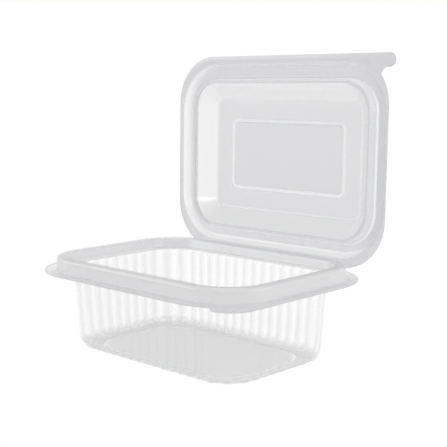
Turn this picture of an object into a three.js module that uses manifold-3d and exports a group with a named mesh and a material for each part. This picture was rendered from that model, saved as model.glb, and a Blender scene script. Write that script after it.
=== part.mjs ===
// Takeaway meal container of clear thermoformed sheet: a fluted tub and a domed lid on one crease.
// Millimetres, +Z up. The origin is the centre of the tub's underside, where it stands.
// +X runs along the crease, -Y is the front, and the lid stands open above the +Y side.
import * as THREE from 'three';
import { mergeVertices } from 'three/addons/utils/BufferGeometryUtils.js';
import Module from 'manifold-3d';

const wasm = await Module();
wasm.setup();

// Driving dimensions of the whole
const flangeLength = 160;
const flangeWidth = 117.4;
const flangeTop = 43.6;
const sheet = 0.6;
const rimRise = 7.3;
const lidOpening = 91;

// The rounded corners of the plan: wide at the flange, and down to one radius at the walls
const flangeCorner = 36;
const wallCorner = 17;
const cornerRate = 1.3;

// The tub, each width measured inwards from the flange's edge
const skirtInset = 6.9;
const skirtDraft = 0.6;
const rimTopWidth = 5.4;
const rimInnerDraft = 1.7;
const ledgeDrop = 5.2;
const ledgeSlope = 0.5;
const wallInset = 17.3;
const wallDraft = 2.2;
const floorRound = 5;
const foldRound = 0.8;
const rimOuterRound = 2.2;
const rimInnerRound = 1.8;

// The flutes round the walls, and how many stand on half a short side, a corner and half a long side
const fluteRuns = { short: 3.35, corner: 3.05, long: 6.6 };
const fluteDepth = 1.3;
const fluteTopGap = 0.3;
const fluteSamples = 4;

// The raised ring near the edge of the floor
const floorRingInset = 27.2;
const floorRingWidth = 2.6;
const floorRingRise = 0.7;

// The crease, and how far the tub's flange stops short of it
const creaseY = 58.2;
const creaseZ = flangeTop - sheet / 2;
const creaseRadius = 0.45;
const creaseLength = 88;
const tubStop = 0.2;

// The lid as it lies closed
const flangeGap = 2.4;
const rimClearance = 0.5;
const lidSideInset = 3.5;
const lidFrontInset = 1.2;
const lidCorner = 27.5;
const lidValleyRise = 0.2;
const lidValleyWidth = 1.6;
const lidValleyRound = 0.7;
const lidPanelRound = 2.5;
const lidDome = 10;
const lidDomeDraft = 9.6;
const lidCornerRate = 1.25;
const panelRingInset = 37.4;
const panelRingWidth = 2.4;
const panelRingRise = 0.8;
const panelRingCorner = 5;

// The opening tabs at the front corner on the +X side
const tubTabCorner = 14;
const tubTabEnd = 78;
const tubTabInner = -THREE.MathUtils.degToRad(66);
const tubStep = { bulge: 0.4, endX: 1.9, endY: 2.2, footX: 4.6, footY: 4.4 };
const lidTabReach = 79.8;
const lidTabRound = 3.7;
const lidTabInner = -THREE.MathUtils.degToRad(37);
const lidFillet = { start: 0.9, reach: 5 };
const tabMargin = 1.6;

const cornerSteps = 6;
const arcSteps = 3;
const halfLength = flangeLength / 2;
const halfWidth = flangeWidth / 2;
const rimTop = flangeTop + rimRise;
const lidUnder = flangeTop + flangeGap;

const clearSheet = new THREE.MeshStandardMaterial({
  color: '#eceef2',
  roughness: 0.08,
  metalness: 0,
  transparent: true,
  opacity: 0.45,
});

// Profiles

// A path through corners {inset, z, round}, each corner rounded to its radius by a short arc.
function roundedPath(corners) {
  const path = [];
  corners.forEach((corner, index) => {
    const here = new THREE.Vector2(corner.inset, corner.z);
    if (!corner.round) {
      path.push(here);
      return;
    }
    const before = new THREE.Vector2(corners[index - 1].inset, corners[index - 1].z);
    const after = new THREE.Vector2(corners[index + 1].inset, corners[index + 1].z);
    const back = before.sub(here).normalize();
    const ahead = after.sub(here).normalize();
    const halfAngle = Math.acos(back.dot(ahead)) / 2;
    const reach = corner.round / Math.tan(halfAngle);
    const start = here.clone().addScaledVector(back, reach);
    const end = here.clone().addScaledVector(ahead, reach);
    const middle = back.add(ahead).normalize();
    const centre = here.clone().addScaledVector(middle, corner.round / Math.sin(halfAngle));
    const from = start.clone().sub(centre);
    const sweep = signedAngle(from, end.sub(centre));
    const steps = corner.steps ?? arcSteps;
    for (let step = 0; step <= steps; step += 1) {
      path.push(from.clone().rotateAround(new THREE.Vector2(), (sweep * step) / steps).add(centre));
    }
  });
  return path;
}

function signedAngle(from, to) {
  return Math.atan2(from.cross(to), from.dot(to));
}

// The unit vector square to a stretch of the path, on the side that faces down and out.
function outwardNormal(from, to) {
  const run = to.clone().sub(from).normalize();
  return new THREE.Vector2(-run.y, run.x);
}

// The path moved out by the thickness of the sheet, with its joints mitred.
function outerPath(path, thickness) {
  return path.map((point, index) => {
    const before = path[Math.max(index - 1, 0)];
    const after = path[Math.min(index + 1, path.length - 1)];
    const first = before === point ? outwardNormal(point, after) : outwardNormal(before, point);
    const second = after === point ? first : outwardNormal(point, after);
    const mitre = first.clone().add(second).normalize();
    return point.clone().addScaledVector(mitre, thickness / mitre.dot(first));
  });
}

// Plan outlines

// The corner radius of the plan at an inset from the tub's flange edge.
function tubCorner(inset) {
  return Math.max(wallCorner, flangeCorner - cornerRate * inset);
}

// Inside its rim the lid's corners tighten towards the panel.
function lidPlanCorner(inset) {
  return tubCorner(inset) - Math.max(0, inset - wallInset) * lidCornerRate;
}

// How a quarter of the wall's outline divides into half a short side, a corner and half a long side.
const quarterFlutes = fluteRuns.short + fluteRuns.corner + fluteRuns.long;
const shortShare = fluteRuns.short / quarterFlutes;
const cornerShare = fluteRuns.corner / quarterFlutes;
const fluteCount = Math.round(4 * quarterFlutes);

const quadrants = [
  { x: 1, y: 1 },
  { x: -1, y: 1 },
  { x: -1, y: -1 },
  { x: 1, y: -1 },
];

// The point of a rounded rectangle at a share of a full turn from the middle of its +X side.
function outlinePoint(ring, turn) {
  const quarter = Math.floor(turn * 4);
  const within = turn * 4 - quarter;
  const share = quarter % 2 ? 1 - within : within;
  const straightX = ring.halfX - ring.corner;
  const straightY = ring.halfY - ring.corner;
  const point = new THREE.Vector2(ring.halfX, (straightY * share) / shortShare);
  const normal = new THREE.Vector2(1, 0);
  if (share > shortShare + cornerShare) {
    point.set((straightX * (1 - share)) / (1 - shortShare - cornerShare), ring.halfY);
    normal.set(0, 1);
  } else if (share > shortShare) {
    const angle = ((share - shortShare) / cornerShare) * (Math.PI / 2);
    normal.set(Math.cos(angle), Math.sin(angle));
    point.set(straightX, straightY).addScaledVector(normal, ring.corner);
  }
  point.addScaledVector(normal, ring.flute ? (fluteWave(turn) * fluteDepth) / 2 : 0);
  const side = quadrants[quarter % 4];
  return new THREE.Vector3(point.x * side.x, Math.min(point.y * side.y, ring.backLimit ?? Infinity), ring.z);
}

function fluteWave(turn) {
  return Math.cos(2 * Math.PI * fluteCount * turn);
}

// A plain outline needs points on its corners only, and a fluted one needs them all round.
function plainTurns() {
  const turns = [];
  for (let quarter = 0; quarter < 4; quarter += 1) {
    for (let step = 0; step <= cornerSteps; step += 1) {
      const along = quarter % 2 ? 1 - shortShare - cornerShare : shortShare;
      turns.push((quarter + along + (cornerShare * step) / cornerSteps) / 4);
    }
  }
  return turns;
}

function flutedTurns() {
  const count = fluteCount * fluteSamples;
  return Array.from({ length: count }, (_, index) => index / count);
}

const plain = plainTurns();
const fluted = flutedTurns();

// One ring of the body at a point of the profile. Its corner grows with any move out from the drawn face.
function ringAt(point, cornerInset, cornerOf, extra = {}) {
  return {
    halfX: halfLength - point.x,
    halfY: halfWidth - point.x,
    corner: cornerOf(cornerInset) + (cornerInset - point.x),
    z: point.y,
    turns: plain,
    ...extra,
  };
}

// Bodies

// Triangles between two rings, taken in step round the turn, whatever their numbers of points.
function bridge(triangles, inner, outer) {
  const total = inner.count + outer.count;
  let onInner = 0;
  let onOuter = 0;
  for (let step = 0; step < total; step += 1) {
    const nextInner = inner.turns[onInner % inner.count] + Math.floor(onInner / inner.count);
    const nextOuter = outer.turns[onOuter % outer.count] + Math.floor(onOuter / outer.count);
    const a = inner.start + (onInner % inner.count);
    const b = outer.start + (onOuter % outer.count);
    const stepOuter = onInner === inner.count || (onOuter < outer.count && nextOuter <= nextInner);
    if (stepOuter) {
      onOuter += 1;
      triangles.push(a, b, outer.start + (onOuter % outer.count));
    } else {
      onInner += 1;
      triangles.push(a, b, inner.start + (onInner % inner.count));
    }
  }
}

// A closed shell through a list of rings, from the middle of its upper face to the middle of its lower one.
function shellGeometry(rings) {
  const positions = [0, 0, rings[0].z];
  const triangles = [];
  const placed = rings.map((ring) => {
    const start = positions.length / 3;
    ring.turns.forEach((turn) => positions.push(...outlinePoint(ring, turn).toArray()));
    return { start, count: ring.turns.length, turns: ring.turns };
  });
  const first = placed[0];
  const last = placed[placed.length - 1];
  const underside = positions.length / 3;
  positions.push(0, 0, rings[rings.length - 1].z);
  for (let index = 0; index < first.count; index += 1) {
    const next = (index + 1) % first.count;
    triangles.push(0, first.start + index, first.start + next);
    triangles.push(last.start + index, underside, last.start + next);
  }
  placed.slice(1).forEach((ring, index) => bridge(triangles, placed[index], ring));
  const geometry = new THREE.BufferGeometry();
  geometry.setAttribute('position', new THREE.Float32BufferAttribute(positions, 3));
  geometry.setIndex(triangles);
  return geometry;
}

// The rings of the upper face from the middle outwards, then those of the lower face back to the middle.
// Both faces take their corners from the drawn face, so that the sheet keeps its thickness round them.
function sheetRings(upper, lower, drawn, cornerOf, extraOf) {
  const ringOf = (point, index) => ringAt(point, drawn[index].x, cornerOf, extraOf(index));
  return [...upper.map(ringOf), ...lower.map(ringOf).reverse()];
}

function solidOf(geometry) {
  const bare = geometry.clone();
  bare.deleteAttribute('normal');
  bare.deleteAttribute('uv');
  const merged = mergeVertices(bare, 1e-4);
  return new wasm.Manifold(
    new wasm.Mesh({
      numProp: 3,
      vertProperties: new Float32Array(merged.attributes.position.array),
      triVerts: new Uint32Array(merged.index.array),
    }),
  );
}

// The pieces of one moulding joined into one body.
function joined(geometries) {
  const whole = geometries.map(solidOf).reduce((sum, piece) => sum.add(piece));
  const mesh = whole.getMesh();
  const geometry = new THREE.BufferGeometry();
  geometry.setAttribute('position', new THREE.BufferAttribute(mesh.vertProperties, 3));
  geometry.setIndex(new THREE.BufferAttribute(mesh.triVerts, 1));
  geometry.computeVertexNormals();
  return geometry;
}

function flatPiece(shape, bottom) {
  const geometry = new THREE.ExtrudeGeometry(shape, { depth: sheet, bevelEnabled: false, curveSegments: 5 });
  return geometry.translate(0, 0, bottom);
}

// The tub

// The upper face from the middle of the floor out to the flange's edge.
function tubProfile() {
  const ledge = rimTop - ledgeDrop;
  const rimOuter = skirtInset + skirtDraft;
  const rimInner = rimOuter + rimTopWidth;
  const wallTop = ledge - ledgeSlope;
  return roundedPath([
    { inset: floorRingInset + floorRingWidth + floorRingRise, z: sheet },
    { inset: floorRingInset + floorRingWidth, z: sheet + floorRingRise },
    { inset: floorRingInset, z: sheet + floorRingRise },
    { inset: floorRingInset - floorRingRise, z: sheet },
    { inset: wallInset + wallDraft, z: sheet, round: floorRound, steps: 4 },
    { inset: wallInset, z: wallTop, round: foldRound },
    { inset: rimInner + rimInnerDraft, z: ledge, round: foldRound },
    { inset: rimInner, z: rimTop, round: rimInnerRound },
    { inset: rimOuter, z: rimTop, round: rimOuterRound, steps: 4 },
    { inset: skirtInset, z: flangeTop, round: foldRound },
    { inset: 0, z: flangeTop },
  ]);
}

// The flutes run up the straight stretch of the wall, from the end of the floor's round to under the ledge.
function tubGeometry() {
  const path = tubProfile();
  const fluteFoot = path.findIndex((point, index) => path[index + 1].y - point.y > floorRound);
  const fluteHead = fluteFoot + 1;
  const wall = path[fluteHead].y - path[fluteFoot].y;
  path.splice(fluteHead, 0, path[fluteFoot].clone().lerp(path[fluteHead], 1 - fluteTopGap / wall));
  const outer = outerPath(path, sheet);
  const onFlutes = { turns: fluted, flute: true };
  const atEdge = { backLimit: creaseY - tubStop };
  const extraOf = (index) => {
    if (index === fluteFoot || index === fluteHead) return onFlutes;
    return index === path.length - 1 ? atEdge : {};
  };
  const shell = shellGeometry(sheetRings(path, outer, path, tubCorner, extraOf));
  return joined([shell, flatPiece(tubTab(), flangeTop - sheet), crease()]);
}

// The arc that keeps a tab clear of the hollow rim, inside the flange of the front corner.
function insideFlange(shape, from, to, clockwise) {
  const radius = tubCorner(skirtInset);
  const centreX = halfLength - skirtInset - radius;
  const centreY = -(halfWidth - skirtInset - radius);
  shape.absarc(centreX, centreY, radius + tabMargin, from, to, clockwise);
}

// The tub's tab fills the flange's corner out to a tighter round, and ends in a step at the front.
function tubTab() {
  const centreX = halfLength - tubTabCorner;
  const centreY = -(halfWidth - tubTabCorner);
  const arcEnd = -THREE.MathUtils.degToRad(tubTabEnd);
  const shape = new THREE.Shape();
  shape.moveTo(halfLength, -(halfWidth - flangeCorner));
  shape.lineTo(halfLength, centreY);
  shape.absarc(centreX, centreY, tubTabCorner, 0, arcEnd, true);
  const front = -halfWidth;
  shape.quadraticCurveTo(centreX, front - tubStep.bulge, centreX - tubStep.endX, front + tubStep.endY);
  shape.lineTo(centreX - tubStep.footX, front + tubStep.footY);
  insideFlange(shape, tubTabInner, 0, false);
  return shape;
}

// The crease is a round bead along the back edge of the flange.
function crease() {
  const bead = new THREE.CylinderGeometry(creaseRadius, creaseRadius, creaseLength, 12);
  return bead.rotateZ(Math.PI / 2).translate(0, creaseY, creaseZ);
}

// The lid

// The lower face, which covers the tub, from the middle of the panel out to the edge.
function lidProfile() {
  const rimOuter = skirtInset + skirtDraft - rimClearance;
  const rimInner = skirtInset + skirtDraft + rimTopWidth + rimClearance;
  const crest = rimTop + rimClearance;
  const valley = lidUnder + lidValleyRise;
  const valleyInset = rimInner + rimInnerDraft;
  const domeFoot = valleyInset + lidValleyWidth;
  const ring = panelRingInset;
  const panel = lidUnder + lidDome;
  return roundedPath([
    { inset: ring + panelRingWidth + panelRingRise / 2, z: panel },
    { inset: ring + panelRingWidth, z: panel + panelRingRise },
    { inset: ring, z: panel + panelRingRise },
    { inset: ring - panelRingRise / 2, z: panel },
    { inset: domeFoot + lidDomeDraft, z: panel, round: lidPanelRound },
    { inset: domeFoot, z: valley, round: lidValleyRound },
    { inset: valleyInset, z: valley, round: lidValleyRound },
    { inset: rimInner, z: crest, round: rimInnerRound - rimClearance },
    { inset: rimOuter, z: crest, round: rimOuterRound + rimClearance, steps: 4 },
    { inset: skirtInset - rimClearance, z: lidUnder, round: foldRound },
    { inset: lidSideInset, z: lidUnder },
  ]);
}

function lidGeometry() {
  const lower = lidProfile();
  const upper = outerPath(lower, -sheet);
  const panelRingPoints = 4;
  const edge = { halfY: halfWidth - lidFrontInset, corner: lidCorner };
  const extraOf = (index) => {
    if (index < panelRingPoints) return { corner: panelRingCorner - (index < 2 ? panelRingWidth : 0) };
    return index === lower.length - 1 ? edge : {};
  };
  const shell = shellGeometry(sheetRings(upper, lower, lower, lidPlanCorner, extraOf));
  return joined([shell, flatPiece(lidTab(), lidUnder)]);
}

// The lid's tab is a tongue that runs on from the front edge, past the corner.
function lidTab() {
  const front = -(halfWidth - lidFrontInset);
  const endX = lidTabReach - lidTabRound;
  const back = front + 2 * lidTabRound;
  const shape = new THREE.Shape();
  shape.moveTo(halfLength - lidSideInset - lidCorner, front);
  shape.lineTo(endX, front);
  shape.absarc(endX, front + lidTabRound, lidTabRound, -Math.PI / 2, Math.PI / 2, false);
  shape.lineTo(endX - lidFillet.start, back);
  shape.quadraticCurveTo(endX - lidFillet.reach, back, endX - lidFillet.reach, back + lidFillet.reach);
  insideFlange(shape, lidTabInner, -Math.PI / 2, true);
  return shape;
}

function lidPart() {
  const mesh = new THREE.Mesh(lidGeometry(), clearSheet);
  mesh.name = 'lid';
  mesh.position.set(0, -creaseY, -creaseZ);
  const swing = new THREE.Group();
  swing.position.set(0, creaseY, creaseZ);
  swing.rotation.x = -THREE.MathUtils.degToRad(lidOpening);
  swing.add(mesh);
  return swing;
}

function tubPart() {
  const mesh = new THREE.Mesh(tubGeometry(), clearSheet);
  mesh.name = 'tub';
  return mesh;
}

const container = new THREE.Group();
container.add(tubPart(), lidPart());

export default container;
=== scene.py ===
# Clear hinged-lid meal container, empty, with its lid standing open behind the tub.
# Lengths in the dictionaries are millimetres, and mm turns them to Blender's metres.
import math

import bmesh
import bpy
from mathutils import Matrix, Vector


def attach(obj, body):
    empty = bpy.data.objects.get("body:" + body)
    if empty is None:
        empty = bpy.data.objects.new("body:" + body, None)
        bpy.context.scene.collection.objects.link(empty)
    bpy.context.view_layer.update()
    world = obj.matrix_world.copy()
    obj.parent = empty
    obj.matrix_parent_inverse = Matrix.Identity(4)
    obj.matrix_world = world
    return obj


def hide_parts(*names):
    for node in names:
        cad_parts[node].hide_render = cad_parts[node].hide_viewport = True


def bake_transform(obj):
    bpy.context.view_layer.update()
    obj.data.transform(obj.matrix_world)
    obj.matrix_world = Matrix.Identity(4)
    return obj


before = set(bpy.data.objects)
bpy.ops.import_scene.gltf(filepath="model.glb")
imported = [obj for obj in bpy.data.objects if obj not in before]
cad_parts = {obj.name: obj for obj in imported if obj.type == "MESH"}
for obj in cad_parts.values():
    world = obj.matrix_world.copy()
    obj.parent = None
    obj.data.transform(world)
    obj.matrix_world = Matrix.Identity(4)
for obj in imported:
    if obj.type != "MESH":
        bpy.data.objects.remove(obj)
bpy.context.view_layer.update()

mm = 0.001
scene = bpy.context.scene


# Colours and nodes

def linearColour(hexText):
    # sRGB hex to the linear values that shaders take
    channels = [int(hexText[i:i + 2], 16) / 255 for i in (1, 3, 5)]
    linear = [c / 12.92 if c <= 0.04045 else ((c + 0.055) / 1.055) ** 2.4 for c in channels]
    return (*linear, 1.0)


def addNode(tree, kind, settings=None, values=None, links=None):
    # One node with its settings, its socket values and the sockets that feed it
    node = tree.nodes.new(kind)
    for key, value in (settings or {}).items():
        setattr(node, key, value)
    for key, value in (values or {}).items():
        node.inputs[key].default_value = value
    for key, source in (links or {}).items():
        tree.links.new(source, node.inputs[key])
    return node


petSheet = {
    "thinTint": "#ffffff",       # a face of the sheet where it is drawn thinnest lets all light by
    "thickTint": "#f2f2f3",      # a face of the full sheet, in the tabs and the flanges
    "edgeTint": "#dededf",       # a face that is looked along
    "edgePower": 4.0,
    "edgeThin": 0.1,             # how much of that a thin sheet shows
    "hazeLeast": 0.0,            # the share of light that the thinnest and the full sheet scatter
    "hazeMost": 0.9,
    "hazeColour": "#f4f4f5",
    "hazeRoughness": 0.5,
    "glossLeast": 0.045,         # what a face mirrors of a ray that meets it head on, and along it
    "glossMost": 0.5,
    "glossPower": 5.0,           # how late it rises from one to the other
    "glossRoughness": 0.09,      # pressed against a mould, not polished
    "glossSpread": (0.6, 1.6),   # the grain takes the roughness this far down and up
    "rippleSize": 14,            # the slow waves that forming leaves in a flat panel
    "rippleDepth": 0.015,
    "grainSize": 1.6,            # a finer unevenness that breaks up highlights
    "grainDepth": 0.001,
}


def clearPet(name, look, seed):
    # Clear PET sheet, thermoformed: seen through almost untinted where it is drawn thin and square on,
    # greyer where the sheet keeps its gauge, where the gauge attribute carries painted shade,
    # or where it is looked along, with soft-edged bright highlights
    material = bpy.data.materials.new(name)
    material.use_nodes = True
    tree = material.node_tree
    tree.nodes.clear()
    place = addNode(tree, "ShaderNodeTexCoord").outputs["Object"]
    shifted = addNode(
        tree, "ShaderNodeMapping",
        values={"Location": (seed, seed * 0.7, seed * 0.3)}, links={"Vector": place},
    ).outputs["Vector"]
    ripple = addNode(
        tree, "ShaderNodeTexNoise",
        values={"Scale": 1 / (look["rippleSize"] * mm), "Detail": 1.0}, links={"Vector": shifted},
    ).outputs["Fac"]
    grain = addNode(
        tree, "ShaderNodeTexNoise",
        values={"Scale": 1 / (look["grainSize"] * mm), "Detail": 2.0}, links={"Vector": shifted},
    ).outputs["Fac"]
    slow = addNode(
        tree, "ShaderNodeBump", values={"Distance": look["rippleDepth"] * mm}, links={"Height": ripple}
    ).outputs["Normal"]
    fine = addNode(
        tree, "ShaderNodeBump",
        values={"Distance": look["grainDepth"] * mm}, links={"Height": grain, "Normal": slow},
    ).outputs["Normal"]
    # The gauge attribute holds the sheet's gauge, with painted shade and painted highlight set side by side
    # and bend by bend
    gaugeAndShade = addNode(tree, "ShaderNodeAttribute", {"attribute_name": "gaugeAndShade"}).outputs["Fac"]
    body = addNode(
        tree, "ShaderNodeMix", {"data_type": "RGBA"},
        {6: linearColour(look["thinTint"]), 7: linearColour(look["thickTint"])}, {0: gaugeAndShade},
    ).outputs[2]
    facing = addNode(tree, "ShaderNodeLayerWeight", values={"Blend": 0.5}).outputs["Facing"]
    grazing = addNode(
        tree, "ShaderNodeMath", {"operation": "POWER"}, {1: look["edgePower"]}, {0: facing}
    ).outputs["Value"]
    edgeShare = addNode(
        tree, "ShaderNodeMapRange", values={"To Min": look["edgeThin"]}, links={"Value": gaugeAndShade}
    ).outputs["Result"]
    edge = addNode(
        tree, "ShaderNodeMath", {"operation": "MULTIPLY"}, links={0: grazing, 1: edgeShare}
    ).outputs["Value"]
    tint = addNode(
        tree, "ShaderNodeMix", {"data_type": "RGBA"},
        {7: linearColour(look["edgeTint"])}, {0: edge, 6: body},
    ).outputs[2]
    passed = addNode(tree, "ShaderNodeBsdfTransparent", links={"Color": tint}).outputs["BSDF"]
    scattered = addNode(
        tree, "ShaderNodeBsdfPrincipled",
        values={"Base Color": linearColour(look["hazeColour"]), "Roughness": look["hazeRoughness"]},
        links={"Normal": fine},
    ).outputs["BSDF"]
    haze = addNode(
        tree, "ShaderNodeMapRange", values={"To Min": look["hazeLeast"], "To Max": look["hazeMost"]},
        links={"Value": gaugeAndShade},
    ).outputs["Result"]
    sheet = addNode(
        tree, "ShaderNodeMixShader", links={0: haze, 1: passed, 2: scattered}
    ).outputs["Shader"]
    smooth, rough = [look["glossRoughness"] * share for share in look["glossSpread"]]
    gloss = addNode(
        tree, "ShaderNodeMapRange", values={"To Min": smooth, "To Max": rough}, links={"Value": grain}
    ).outputs["Result"]
    mirror = addNode(
        tree, "ShaderNodeBsdfGlossy",
        values={"Color": (1, 1, 1, 1)}, links={"Roughness": gloss, "Normal": fine},
    ).outputs["BSDF"]
    # Fresnel's own node turns a back face to a full mirror, so both faces take the curve from how they face
    steep = addNode(
        tree, "ShaderNodeMath", {"operation": "POWER"}, {1: look["glossPower"]}, {0: facing}
    ).outputs["Value"]
    shine = addNode(
        tree, "ShaderNodeMapRange", values={"To Min": look["glossLeast"], "To Max": look["glossMost"]},
        links={"Value": steep},
    ).outputs["Result"]
    surface = addNode(
        tree, "ShaderNodeMixShader", links={0: shine, 1: sheet, 2: mirror}
    ).outputs["Shader"]
    addNode(tree, "ShaderNodeOutputMaterial", links={"Surface": surface})
    return material


# The lid's sheet, whose haze is a little greyer than the tub's: painted shade, as it is the same sheet
petLid = {**petSheet, "hazeColour": "#e0e0e2"}

# The die-cut edge of the sheet, which light leaves greyer than a face
petCutEdge = {
    **petSheet, "thinTint": "#cdcdd0", "thickTint": "#cdcdd0", "hazeLeast": 0.5, "hazeMost": 0.5,
}

# The sheet pressed thin and folded along the crease, stress-whitened in fine lines
petCrease = {
    **petSheet, "hazeLeast": 0.45, "hazeMost": 0.45, "hazeColour": "#fafafa",
    "rippleSize": 5, "rippleDepth": 0.06, "grainSize": 0.7, "grainDepth": 0.012, "glossRoughness": 0.16,
}

# The last number shifts the ripple and the grain, so that no two materials have the same
tubPet = clearPet("clear_pet_thermoformed_tub", petSheet, 0.13)
lidPet = clearPet("clear_pet_thermoformed_lid", petLid, 0.71)
cutEdgePet = clearPet("clear_pet_cut_edge", petCutEdge, 0.37)
creasePet = clearPet("clear_pet_folded_crease", petCrease, 0.59)


# Plan outlines: a rounded rectangle whose points keep their share of the way round

outline = {
    "halfLength": 80.0,
    "halfWidth": 58.7,
    "flangeCorner": 36.0,   # the corner's radius at the flange's edge
    "wallCorner": 17.0,     # the least that it has further in
    "cornerRate": 1.3,      # what it loses for each millimetre of inset
}


def tubCorner(inset):
    return max(outline["wallCorner"], outline["flangeCorner"] - outline["cornerRate"] * inset)


def shareOut(shortRun, cornerRun, longRun):
    # The shares of a quarter of the outline that a half short side and a corner take
    whole = shortRun + cornerRun + longRun
    return shortRun / whole, cornerRun / whole


def planPoint(halfX, halfY, corner, turn, shares, bulge=0.0):
    # A point of the outline and the way outwards there, at a share of a full turn from the middle of +X
    quarter = int(turn * 4) % 4
    within = turn * 4 - int(turn * 4)
    share = 1 - within if quarter % 2 else within
    shortShare, cornerShare = shares
    straight = Vector((halfX - corner, halfY - corner))
    if share <= shortShare:
        point, normal = Vector((halfX, straight.y * share / shortShare)), Vector((1, 0))
    elif share < shortShare + cornerShare:
        angle = (share - shortShare) / cornerShare * math.pi / 2
        normal = Vector((math.cos(angle), math.sin(angle)))
        point = straight + normal * corner
    else:
        left = (1 - share) / (1 - shortShare - cornerShare)
        point, normal = Vector((straight.x * left, halfY)), Vector((0, 1))
    signs = Vector((-1 if quarter in (1, 2) else 1, -1 if quarter in (2, 3) else 1))
    return (point + normal * bulge) * signs, normal * signs


def onSides(value, normal):
    # A value that differs between the +X, +Y, -X and -Y sides, taken in the direction of a normal
    right, back, left, front = value if isinstance(value, tuple) else (value,) * 4
    alongX = right if normal.x > 0 else left
    alongY = back if normal.y > 0 else front
    return alongX * normal.x ** 2 + alongY * normal.y ** 2


# Profiles, from the middle outwards

def raisedRing(look, base):
    # The edge of the flat middle, and the four corners of the raised ring round it
    outer, inner = look["ringInset"], look["ringInset"] + look["ringWidth"]
    slope, top, ringRound = look["ringSlope"], base + look["ringRise"], look["ringRound"]
    return [
        (inner + look["ringMargin"], base),
        (inner + slope, base, *ringRound),
        (inner - slope, top, *ringRound),
        (outer + slope, top, *ringRound),
        (outer - slope, base, *ringRound),
    ]


def roundedPath(corners):
    # The profile through corners (inset, z, radius, steps), each rounded by an arc, as points
    # (place, stretch): a stretch is counted from 0 at the middle, and an arc leads from one to the next
    path = []
    for index, corner in enumerate(corners):
        here = Vector(corner[:2])
        if len(corner) < 3:
            path.append((here, float(min(index, len(corners) - 2))))
            continue
        radius, steps = corner[2:]
        back = (Vector(corners[index - 1][:2]) - here).normalized()
        ahead = (Vector(corners[index + 1][:2]) - here).normalized()
        halfAngle = math.acos(max(-1, min(1, back.dot(ahead)))) / 2
        start = here + back * (radius / math.tan(halfAngle))
        centre = here + (back + ahead).normalized() * (radius / math.sin(halfAngle))
        spoke = start - centre
        sweep = spoke.angle_signed(here + ahead * (radius / math.tan(halfAngle)) - centre)
        for step in range(steps + 1):
            turned = Matrix.Rotation(-sweep * step / steps, 2) @ spoke
            path.append((centre + turned, index - 1 + step / steps))
    return path


def stretchGaugeAndShade(look, stretch, normal):
    # The gauge of a place on the profile, with its painted shade and highlight, from those of its
    # stretches, and what the bend between two adds
    gaugesAndShade = look["gaugesAndShade"]
    low = min(int(stretch), len(gaugesAndShade) - 1)
    high = min(low + 1, len(gaugesAndShade) - 1)
    share = stretch - low
    flat = onSides(gaugesAndShade[low], normal) * (1 - share) + onSides(gaugesAndShade[high], normal) * share
    return flat + onSides(look["bendGaugeShadeAndHighlight"][high], normal) * 4 * share * (1 - share)


# Lines of points in the plan

def alongPath(points, share):
    # The point at a share of a polyline's length
    lengths = [(b - a).length for a, b in zip(points, points[1:])]
    left = share * sum(lengths)
    for a, b, length in zip(points, points[1:], lengths):
        if left <= length:
            return a.lerp(b, left / length)
        left -= length
    return points[-1].copy()


def arcPoints(centre, radius, fromDegrees, toDegrees, steps=24):
    angles = [math.radians(fromDegrees + (toDegrees - fromDegrees) * i / steps) for i in range(steps + 1)]
    return [Vector(centre) + Vector((math.cos(a), math.sin(a))) * radius for a in angles]


def quadraticPoints(start, control, end, steps=12):
    start, control, end = Vector(start), Vector(control), Vector(end)
    shares = [i / steps for i in range(steps + 1)]
    return [start.lerp(control, share).lerp(control.lerp(end, share), share) for share in shares]


def tabPlace(outlines, counts, number):
    # Each stretch of a tab's outline has its own number of the ring's points
    for points, count in zip(outlines, counts):
        if number <= count:
            return alongPath(points, number / count)
        number -= count
    return outlines[-1][-1].copy()


# Sheets: a disc whose rim is extruded ring by ring out to the flange's edge

flangeReaches = (0.5, 1.0)   # how far the flange's rings stand on the way from the skirt's foot to the edge


def sheetRings(path, ringPlace):
    # A ring's place is a function from a point's number round the outline to its spot and its gauge
    reaches = [0.0] * (len(path) - len(flangeReaches)) + list(flangeReaches)
    return [ringPlace(point, stretch, reach) for (point, stretch), reach in zip(path, reaches)]


def sweepSheet(pointCount, rings):
    bm = bmesh.new()
    turnLayer = bm.verts.layers.int.new("turn")
    gaugeAndShadeLayer = bm.verts.layers.float.new("gaugeAndShade")
    bmesh.ops.create_circle(bm, cap_ends=True, radius=1, segments=pointCount)
    ring = list(bm.verts)
    for vert in ring:
        vert[turnLayer] = round(math.atan2(vert.co.y, vert.co.x) / math.tau * pointCount) % pointCount
    edges = list(bm.edges)
    for number, place in enumerate(rings):
        if number:
            made = bmesh.ops.extrude_edge_only(bm, edges=edges)["geom"]
            ring = [item for item in made if isinstance(item, bmesh.types.BMVert)]
            known = set(ring)
            edges = [
                item for item in made
                if isinstance(item, bmesh.types.BMEdge) and known.issuperset(item.verts)
            ]
        for vert in ring:
            spot, gaugeAndShade = place(vert[turnLayer])
            vert.co = spot * mm
            vert[gaugeAndShadeLayer] = gaugeAndShade
    bmesh.ops.recalc_face_normals(bm, faces=bm.faces)
    middle = max(bm.faces, key=lambda face: len(face.verts))
    if middle.normal.z < 0:
        bmesh.ops.reverse_faces(bm, faces=bm.faces)
    return bm


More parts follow.
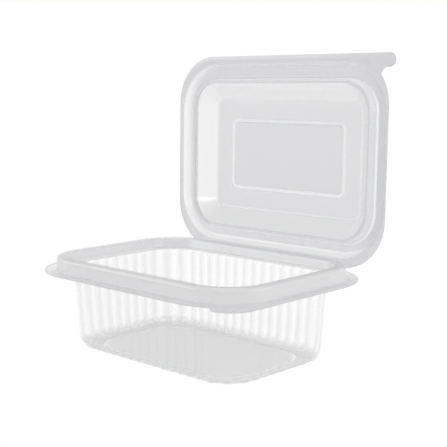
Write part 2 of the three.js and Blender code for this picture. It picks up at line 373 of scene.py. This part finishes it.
def thickened(bm, name, look, side, material):
    # The sheet's own thickness, to one side of the surface, and a small round on its cut edge
    mesh = bpy.data.meshes.new(name)
    bm.to_mesh(mesh)
    bm.free()
    piece = bpy.data.objects.new(name, mesh)
    scene.collection.objects.link(piece)
    mesh.materials.append(material)
    mesh.materials.append(cutEdgePet)
    solid = piece.modifiers.new("thickness", "SOLIDIFY")
    solid.material_offset_rim = 1   # the cut edge is the second material
    solid.thickness = look["sheet"] * mm
    solid.offset = side
    solid.use_even_offset = True
    solid.use_quality_normals = True
    bevel = piece.modifiers.new("cut edge", "BEVEL")
    bevel.width = look["edgeRound"] * mm
    bevel.segments = 2
    bevel.limit_method = "ANGLE"
    bevel.angle_limit = math.radians(70)   # only the cut edge turns this sharply
    made = bpy.data.meshes.new_from_object(piece.evaluated_get(bpy.context.evaluated_depsgraph_get()))
    piece.modifiers.clear()
    piece.data = made
    made.name = name
    for polygon in made.polygons:
        polygon.use_smooth = True
    return piece


# The tub

tub = {
    "sheet": 0.6,
    "edgeRound": 0.12,
    # The profile: insets from the plain outline, heights, and each round's radius and steps
    "flangeTop": 43.6,
    "skirtInset": 6.9,
    "skirtRound": (0.8, 5),
    "rimOuter": 7.5,
    "rimOuterRound": (2.2, 8),
    "rimInner": 12.9,
    "rimInnerRound": (1.8, 7),
    "rimTop": 50.9,
    "ledgeInset": 14.6,
    "ledge": 45.7,
    "ledgeRound": (0.8, 4),
    "wallInset": 17.3,
    "wallTop": 45.2,
    "wallRound": (0.8, 4),
    "wallFoot": 19.5,
    "floorRound": (5.0, 10),
    "ringInset": 27.2,
    "ringWidth": 2.6,
    "ringSlope": 0.5,   # half the width of each of its sloping sides
    "ringRise": 0.7,
    "ringRound": (0.5, 3),
    "ringMargin": 1.4,
    "wallRings": (12.0, 22.0, 32.0, 40.0, 43.6, 43.9, 44.1, 44.3),   # heights of more rings there
    # The flutes
    "fluteRuns": (3.35, 3.05, 6.6),   # how many half a short side, a corner and half a long side have
    "fluteDepth": 1.3,
    "pointsPerFlute": 12,
    "fluteFootInset": (23.4, 21.4),   # they rise out of the floor between these insets
    "fluteHead": (44.9, 43.9),        # and run out between these heights
    # The flange's edge and its tab
    "backEdge": 58.0,                 # it is straight here, for the crease
    "tabCorner": 14.0,
    "tabTurn": 78,                    # the degrees of its corner that the tab has before its step
    # The curve and the end of the step: x from the middle of the tab's corner, y from the front edge
    "tabStep": ((0, -0.2), (-1.9, 2.2), (-4.0, 3.9), (-4.6, 4.45)),
    "flangeStart": 61.1,              # the degrees of its own corner where the flange goes on
    "tabPoints": (8, 16, 14, 11),     # of the ring's points, for the side, the corner, the step, the flange
    # The gauge that each stretch of the profile keeps, from the middle of the floor out to the flange:
    # one value all round, or one each for the +X, +Y, -X and -Y sides. It is also painted shade:
    # a higher value greys a stretch, and the values that differ from side to side paint the light and shade
    # that falls on each side
    "gaugesAndShade": [
        0.55,
        0.45,
        0.25,
        0.5,
        (0.55, 0.65, 0.65, 0.55),
        (0, 0, 0.04, 0),
        0.3,
        (0.75, 0.6, 0.4, 0.7),
        (0.65, 0.45, 0.4, 0.6),
        (0.75, 0.35, 0.3, 0.65),
        (0.6, 0.05, 0.05, 0.6),
        (0.5, 0, 0, 0.5),
    ],
    # What the bend that leads to each stretch has more of it, or less, halfway round: painted shade along
    # the bend where it has more, a painted highlight line where it has less
    "bendGaugeShadeAndHighlight": [
        0,
        0.1,
        0,
        0.05,
        0.05,
        (-0.05, -0.05, 0.05, 0),
        (0.2, 0.35, 0.3, 0.25),
        (0.1, -0.15, -0.25, 0.15),
        (0.2, -0.15, -0.1, 0.15),
        (0.2, -0.4, -0.15, 0.3),
        (0.05, -0.15, -0.1, 0.1),
        (0.1, -0.05, -0.05, 0.1),
    ],
    # What the hollow of a flute has more than its crest: painted shade in the hollows, which shows their
    # stripes on the +Y and -X sides and leaves the +X and -Y sides plain
    "fluteGaugeAndShade": (0.0, 0.2, 0.2, 0.0),
}


def smoothStep(value, start, end):
    share = max(0.0, min(1.0, (value - start) / (end - start)))
    return share * share * (3 - 2 * share)


tubShares = shareOut(*tub["fluteRuns"])
fluteCount = round(4 * sum(tub["fluteRuns"]))


def fluteStrength(inset, z):
    # The flange is as low as the flutes are, but stands outside the ledge and has none
    foot = smoothStep(inset, *tub["fluteFootInset"])
    head = smoothStep(z, *tub["fluteHead"])
    return foot * head if inset > tub["ledgeInset"] else 0.0


def tubTabOutline():
    # From the +X side round the front corner: the full corner of the tab, its step, and the flange again
    halfX, halfY, radius = outline["halfLength"], outline["halfWidth"], tub["tabCorner"]
    centreX, centreY = halfX - radius, -(halfY - radius)
    flangeCentre = (halfX - outline["flangeCorner"], -(halfY - outline["flangeCorner"]))
    side = [Vector((halfX, flangeCentre[1])), Vector((halfX, centreY))]
    corner = arcPoints((centreX, centreY), radius, 0, -tub["tabTurn"])
    control, foot, *rest = [Vector((centreX + x, -halfY + y)) for x, y in tub["tabStep"]]
    step = quadraticPoints(corner[-1], control, foot) + rest
    flange = arcPoints(flangeCentre, outline["flangeCorner"], -tub["flangeStart"], -90)
    return side, corner, step, flange


def tubPath():
    path = roundedPath([
        *raisedRing(tub, tub["sheet"]),
        (tub["wallFoot"], tub["sheet"], *tub["floorRound"]),
        (tub["wallInset"], tub["wallTop"], *tub["wallRound"]),
        (tub["ledgeInset"], tub["ledge"], *tub["ledgeRound"]),
        (tub["rimInner"], tub["rimTop"], *tub["rimInnerRound"]),
        (tub["rimOuter"], tub["rimTop"], *tub["rimOuterRound"]),
        (tub["skirtInset"], tub["flangeTop"], *tub["skirtRound"]),
        # The flange's rings go out from here: flangeReaches says how far, and these only which way
        (tub["skirtInset"] - 1, tub["flangeTop"]),
        (tub["skirtInset"] - 2, tub["flangeTop"]),
    ])
    # More rings on the wall, the one high step of the path, where the flutes run out under the ledge
    highStep = tub["wallTop"] / 2
    foot = next(i for i, (point, stretch) in enumerate(path) if path[i + 1][0].y - point.y > highStep)
    (low, wall), (high, above) = path[foot:foot + 2]
    extra = [(low.lerp(high, (z - low.y) / (high.y - low.y)), wall) for z in tub["wallRings"]]
    return path[:foot + 1] + extra + path[foot + 1:]


def tubPiece():
    pointCount = fluteCount * tub["pointsPerFlute"]
    quarter = pointCount / 4
    cornerPoints = sum(tub["tabPoints"])
    firstTab = 3 * quarter + (1 - tubShares[0] - tubShares[1]) * quarter
    path = tubPath()
    skirtFoot = path[-3][0].x
    outlines = tubTabOutline()

    def edgePlace(number):
        turn = number / pointCount
        spot = planPoint(
            outline["halfLength"], outline["halfWidth"], outline["flangeCorner"], turn, tubShares
        )[0]
        share = (number - firstTab) / (tubShares[1] * quarter)
        if 0 <= share <= 1:
            spot = tabPlace(outlines, tub["tabPoints"], (1 - share) * cornerPoints)
        spot.y = min(spot.y, tub["backEdge"])
        return spot

    def ringPlace(point, stretch, reach):
        inset = skirtFoot if reach else point.x
        strength = fluteStrength(point.x, point.y)

        def place(number):
            turn = number / pointCount
            wave = math.cos(math.tau * fluteCount * turn) * strength
            spot, normal = planPoint(
                outline["halfLength"] - inset, outline["halfWidth"] - inset, tubCorner(inset),
                turn, tubShares, wave * tub["fluteDepth"] / 2,
            )
            # A flute is drawn thinnest where it stands out furthest, and painted shade darkens its hollow
            gaugeAndShade = stretchGaugeAndShade(tub, stretch, normal)
            gaugeAndShade += (strength - wave) / 2 * onSides(tub["fluteGaugeAndShade"], normal)
            if reach:
                spot = spot.lerp(edgePlace(number), reach)
            return Vector((spot.x, spot.y, point.y)), gaugeAndShade

        return place

    bm = sweepSheet(pointCount, sheetRings(path, ringPlace))
    return thickened(bm, "tub_shell", tub, -1, tubPet)


tubShell = tubPiece()
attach(tubShell, "tub")
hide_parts("tub")
print("tub:", len(tubShell.data.polygons), "faces")


# The lid, built closed and turned open about the crease

lid = {
    "sheet": 0.6,
    "edgeRound": 0.12,
    # The profile, as the tub's
    "under": 46.0,
    "skirtInset": 6.4,
    "skirtRound": (0.8, 5),
    "rimOuter": 7.0,
    "rimOuterRound": (2.7, 8),
    "rimInner": 13.4,
    "rimInnerRound": (1.3, 7),
    "crest": 51.4,
    "valley": 46.2,
    "valleyInset": 15.1,
    "valleyRound": (0.7, 5),
    "domeFoot": 16.7,
    "domeFootRound": (0.7, 5),
    "domeTop": 26.3,
    "domeRound": (2.5, 8),
    "panel": 56.0,
    "cornerRate": 1.25,       # what the dome's corner loses of its radius for each millimetre of inset
    "ringInset": 37.4,
    "ringWidth": 2.4,
    "ringSlope": 0.4,
    "ringRise": 0.8,
    "ringRound": (0.5, 3),
    "ringMargin": 1.4,
    "ringCorner": 5.0,        # its corner's radius outside, and the least that it has inside
    "ringCornerLeast": 1.0,
    # The flange's edge and its tab
    "halfX": 76.5,
    "halfY": 57.5,
    "edgeCorner": 27.5,
    "points": 480,
    "shares": (0.14, 0.62),   # what half a short side and a corner have of a quarter of the points
    "tabStart": 36.3,         # the degrees of its corner that the flange has before its tab
    "tabReach": 79.8,         # x of the tongue's tip
    "tabRound": 3.7,
    "tabFillet": (4.5, 0.9),  # how far short of the tip's middle the fillet aims, and ends
    "tabPoints": (32, 22, 12, 8.4),
    # The crease that it turns about, and the degrees that it stands open
    "creaseY": 58.2,
    "creaseZ": 43.3,
    "opening": 91.0,
    # From the middle of the panel out to the flange, as the tub's, with painted shade and painted highlight
    # that differ from side to side as the tub's do
    "gaugesAndShade": [
        0.45,
        0.45,
        (0.25, 0.25, 0.2, 0.3),
        0.35,
        0.4,
        (0.3, 0.3, 0.15, 0.25),
        (0.75, 0.6, 0.6, 0.8),
        (0.35, 0.3, 0.15, 0.15),
        (0.55, 0.35, 0.45, 0.5),
        (0.25, 0.15, 0.1, 0.2),
        0.5,
        (0.55, 0.45, 0.55, 1),
    ],
    "bendGaugeShadeAndHighlight": [
        0,
        (-0.05, -0.1, -0.15, 0.15),
        (0, -0.15, -0.15, 0.15),
        (-0.25, 0.05, 0.1, 0),
        (-0.05, 0.2, 0.1, 0.1),
        (-0.15, 0.05, -0.05, 0),
        (0.5, 0.15, -0.4, 0.35),
        (0.15, -0.05, 0.2, 0.35),
        (-0.3, -0.05, 0.1, 0.15),
        (-0.1, -0.05, -0.05, 0.05),
        (0.25, 0.15, 0, 0.3),
        (0.2, 0, 0.05, 0.05),
    ],
}


def lidCorner(inset):
    if inset > lid["ringInset"] - lid["ringMargin"]:
        return max(lid["ringCornerLeast"], lid["ringCorner"] - max(0.0, inset - lid["ringInset"]))
    return tubCorner(inset) - lid["cornerRate"] * max(0.0, inset - tub["wallInset"])


def lidTabOutline():
    # From the +X side round the front corner: the flange, the fillet, the tongue's end and the front edge
    centre = (lid["halfX"] - lid["edgeCorner"], -(lid["halfY"] - lid["edgeCorner"]))
    endX, front = lid["tabReach"] - lid["tabRound"], -lid["halfY"]
    back = front + 2 * lid["tabRound"]
    flange = arcPoints(centre, lid["edgeCorner"], 0, -lid["tabStart"])
    reach, start = lid["tabFillet"]
    fillet = quadraticPoints(flange[-1], (endX - reach, back), (endX - start, back))
    tip = [fillet[-1]] + arcPoints((endX, front + lid["tabRound"]), lid["tabRound"], 90, -90)
    edge = [Vector((endX, front)), Vector((centre[0], front))]
    return flange, fillet, tip, edge


def lidPath():
    return roundedPath([
        *raisedRing(lid, lid["panel"]),
        (lid["domeTop"], lid["panel"], *lid["domeRound"]),
        (lid["domeFoot"], lid["valley"], *lid["domeFootRound"]),
        (lid["valleyInset"], lid["valley"], *lid["valleyRound"]),
        (lid["rimInner"], lid["crest"], *lid["rimInnerRound"]),
        (lid["rimOuter"], lid["crest"], *lid["rimOuterRound"]),
        (lid["skirtInset"], lid["under"], *lid["skirtRound"]),
        # The flange's rings, which these two only lead outwards
        (lid["skirtInset"] - 1, lid["under"]),
        (lid["skirtInset"] - 2, lid["under"]),
    ])


def lidPiece():
    path = lidPath()
    skirtFoot = path[-3][0].x
    quarter = lid["points"] / 4
    cornerPoints = sum(lid["tabPoints"])
    firstTab = 3 * quarter + (1 - sum(lid["shares"])) * quarter
    outlines = lidTabOutline()

    def edgePlace(number):
        share = (number - firstTab) / (lid["shares"][1] * quarter)
        if 0 <= share <= 1:
            return tabPlace(outlines, lid["tabPoints"], (1 - share) * cornerPoints)
        turn = number / lid["points"]
        return planPoint(lid["halfX"], lid["halfY"], lid["edgeCorner"], turn, lid["shares"])[0]

    def ringPlace(point, stretch, reach):
        inset = skirtFoot if reach else point.x

        def place(number):
            spot, normal = planPoint(
                outline["halfLength"] - inset, outline["halfWidth"] - inset, lidCorner(inset),
                number / lid["points"], lid["shares"],
            )
            if reach:
                spot = spot.lerp(edgePlace(number), reach)
            return Vector((spot.x, spot.y, point.y)), stretchGaugeAndShade(lid, stretch, normal)

        return place

    bm = sweepSheet(lid["points"], sheetRings(path, ringPlace))
    turn = Matrix.Rotation(-math.radians(lid["opening"]), 3, "X")
    bmesh.ops.rotate(bm, cent=Vector((0, lid["creaseY"], lid["creaseZ"])) * mm, matrix=turn, verts=bm.verts)
    return thickened(bm, "lid_shell", lid, 1, lidPet)


lidShell = lidPiece()
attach(lidShell, "lid")
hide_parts("lid")
print("lid:", len(lidShell.data.polygons), "faces")


# The crease, folded from the back edge of the tub's flange round to the lid's

crease = {
    "sheet": 0.45,
    "edgeRound": 0.08,
    "gaugeAndShade": 0.5,
    "halfLength": 44.0,
    "segments": 88,
    "steps": 12,
    "tubEdge": (57.85, 43.3),    # y and z in the middle of the sheet, with the lid open
    "fold": (61.15, 43.2),
    "lidEdge": (61.2, 44.1),
    "start": (58.0, 43.3),       # where it leaves off moving with the tub, and where it is all the lid's
    "end": (61.2, 43.95),
}


def creasePiece():
    profile = quadraticPoints(crease["tubEdge"], crease["fold"], crease["lidEdge"], crease["steps"])
    bm = bmesh.new()
    gaugeAndShadeLayer = bm.verts.layers.float.new("gaugeAndShade")
    bmesh.ops.create_grid(bm, x_segments=crease["segments"], y_segments=crease["steps"], size=1)
    for vert in bm.verts:
        y, z = profile[round((vert.co.y + 1) / 2 * crease["steps"])]
        vert.co = Vector((vert.co.x * crease["halfLength"], y, z)) * mm
        vert[gaugeAndShadeLayer] = crease["gaugeAndShade"]
    return thickened(bm, "crease_web", crease, 0, creasePet)


creaseWeb = creasePiece()
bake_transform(creaseWeb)
print("crease:", len(creaseWeb.data.polygons), "faces")


# Floor, light and camera

studio = {
    "floorSize": 3.0,            # metres
    "floorDrop": 0.1,            # just under the feet of the tub
    "seen": "#ffffff",           # the floor and the background, looked straight at
    "around": "#f7f7f7",         # what the sheet mirrors of them and lets by
    "overhead": "#a4a4a4",       # what it mirrors of the room above
    # Between these heights of a direction, 1 being straight up, the one fades into the other
    "overheadFade": (0.35, 0.6),
    "cameraPlace": (356.464, -357.719, 142.776),
    "cameraTarget": (-92.625, 118.392, 40.0),
    "lens": 77.465,
    "shiftY": 0.0263,
}


def litAs(name, seen, passed):
    # White where the camera looks straight at it, and a light grey through the sheet and in its gloss
    material = bpy.data.materials.new(name)
    material.use_nodes = True
    tree = material.node_tree
    tree.nodes.clear()
    direct = addNode(tree, "ShaderNodeEmission", values={"Color": linearColour(seen)}).outputs["Emission"]
    other = addNode(tree, "ShaderNodeEmission", values={"Color": linearColour(passed)}).outputs["Emission"]
    ray = addNode(tree, "ShaderNodeLightPath").outputs["Is Camera Ray"]
    mix = addNode(tree, "ShaderNodeMixShader", links={"Fac": ray, 1: other, 2: direct})
    addNode(tree, "ShaderNodeOutputMaterial", links={"Surface": mix.outputs["Shader"]})
    return material


def floorPiece():
    bm = bmesh.new()
    bmesh.ops.create_grid(bm, x_segments=1, y_segments=1, size=studio["floorSize"] / 2)
    bmesh.ops.translate(bm, vec=(0, 0, -studio["floorDrop"] * mm), verts=bm.verts)
    mesh = bpy.data.meshes.new("floor")
    bm.to_mesh(mesh)
    bm.free()
    floor = bpy.data.objects.new("floor", mesh)
    scene.collection.objects.link(floor)
    mesh.materials.append(litAs("white_table", studio["seen"], studio["around"]))


def setWorld():
    world = bpy.data.worlds.new("studio")
    scene.world = world
    world.use_nodes = True
    tree = world.node_tree
    tree.nodes.clear()
    direct = addNode(
        tree, "ShaderNodeBackground", values={"Color": linearColour(studio["seen"])}
    ).outputs["Background"]
    way = addNode(tree, "ShaderNodeTexCoord").outputs["Generated"]
    height = addNode(tree, "ShaderNodeSeparateXYZ", links={"Vector": way}).outputs["Z"]
    ramp = addNode(tree, "ShaderNodeValToRGB", links={"Fac": height})
    greys = (studio["around"], studio["overhead"])
    for element, position, grey in zip(ramp.color_ramp.elements, studio["overheadFade"], greys):
        element.position = position
        element.color = linearColour(grey)
    other = addNode(
        tree, "ShaderNodeBackground", links={"Color": ramp.outputs["Color"]}
    ).outputs["Background"]
    ray = addNode(tree, "ShaderNodeLightPath").outputs["Is Camera Ray"]
    mix = addNode(tree, "ShaderNodeMixShader", links={"Fac": ray, 1: other, 2: direct})
    addNode(tree, "ShaderNodeOutputWorld", links={"Surface": mix.outputs["Shader"]})


# Each softbox's place and what it is turned to, its size, and its power in watts
softboxes = [
    {"place": (-700, -500, 500), "aim": (0, 0, 60), "width": 500, "height": 500, "power": 1.1},
    {"place": (600, -600, 350), "aim": (0, 0, 60), "width": 300, "height": 300, "power": 0.5},
    {"place": (800, 300, 400), "aim": (0, 0, 60), "width": 400, "height": 600, "power": 1.0},
    {"place": (0, 0, 900), "aim": (0, 0, 0), "width": 500, "height": 500, "power": 1.2},
]


def aimed(thing, place, target):
    way = Vector(target) - Vector(place)
    thing.location = Vector(place) * mm
    thing.rotation_euler = way.to_track_quat("-Z", "Y").to_euler()


def addSoftbox(number, box):
    light = bpy.data.lights.new(f"softbox_{number}", "AREA")
    light.shape = "RECTANGLE"
    light.size = box["width"] * mm
    light.size_y = box["height"] * mm
    light.energy = box["power"]
    lamp = bpy.data.objects.new(light.name, light)
    scene.collection.objects.link(lamp)
    aimed(lamp, box["place"], box["aim"])


def addCamera():
    camera = bpy.data.cameras.new("photo_view")
    camera.lens = studio["lens"]
    camera.sensor_width = 36
    camera.shift_y = studio["shiftY"]
    camera.clip_end = 20
    holder = bpy.data.objects.new("photo_view", camera)
    scene.collection.objects.link(holder)
    aimed(holder, studio["cameraPlace"], studio["cameraTarget"])
    scene.camera = holder


floorPiece()
setWorld()
for number, box in enumerate(softboxes):
    addSoftbox(number, box)
addCamera()
scene.view_settings.view_transform = "Standard"
scene.cycles.transparent_max_bounces = 32   # a sheet has two faces, and a ray may meet six sheets
print("studio: floor,", len(softboxes), "softboxes and the camera")
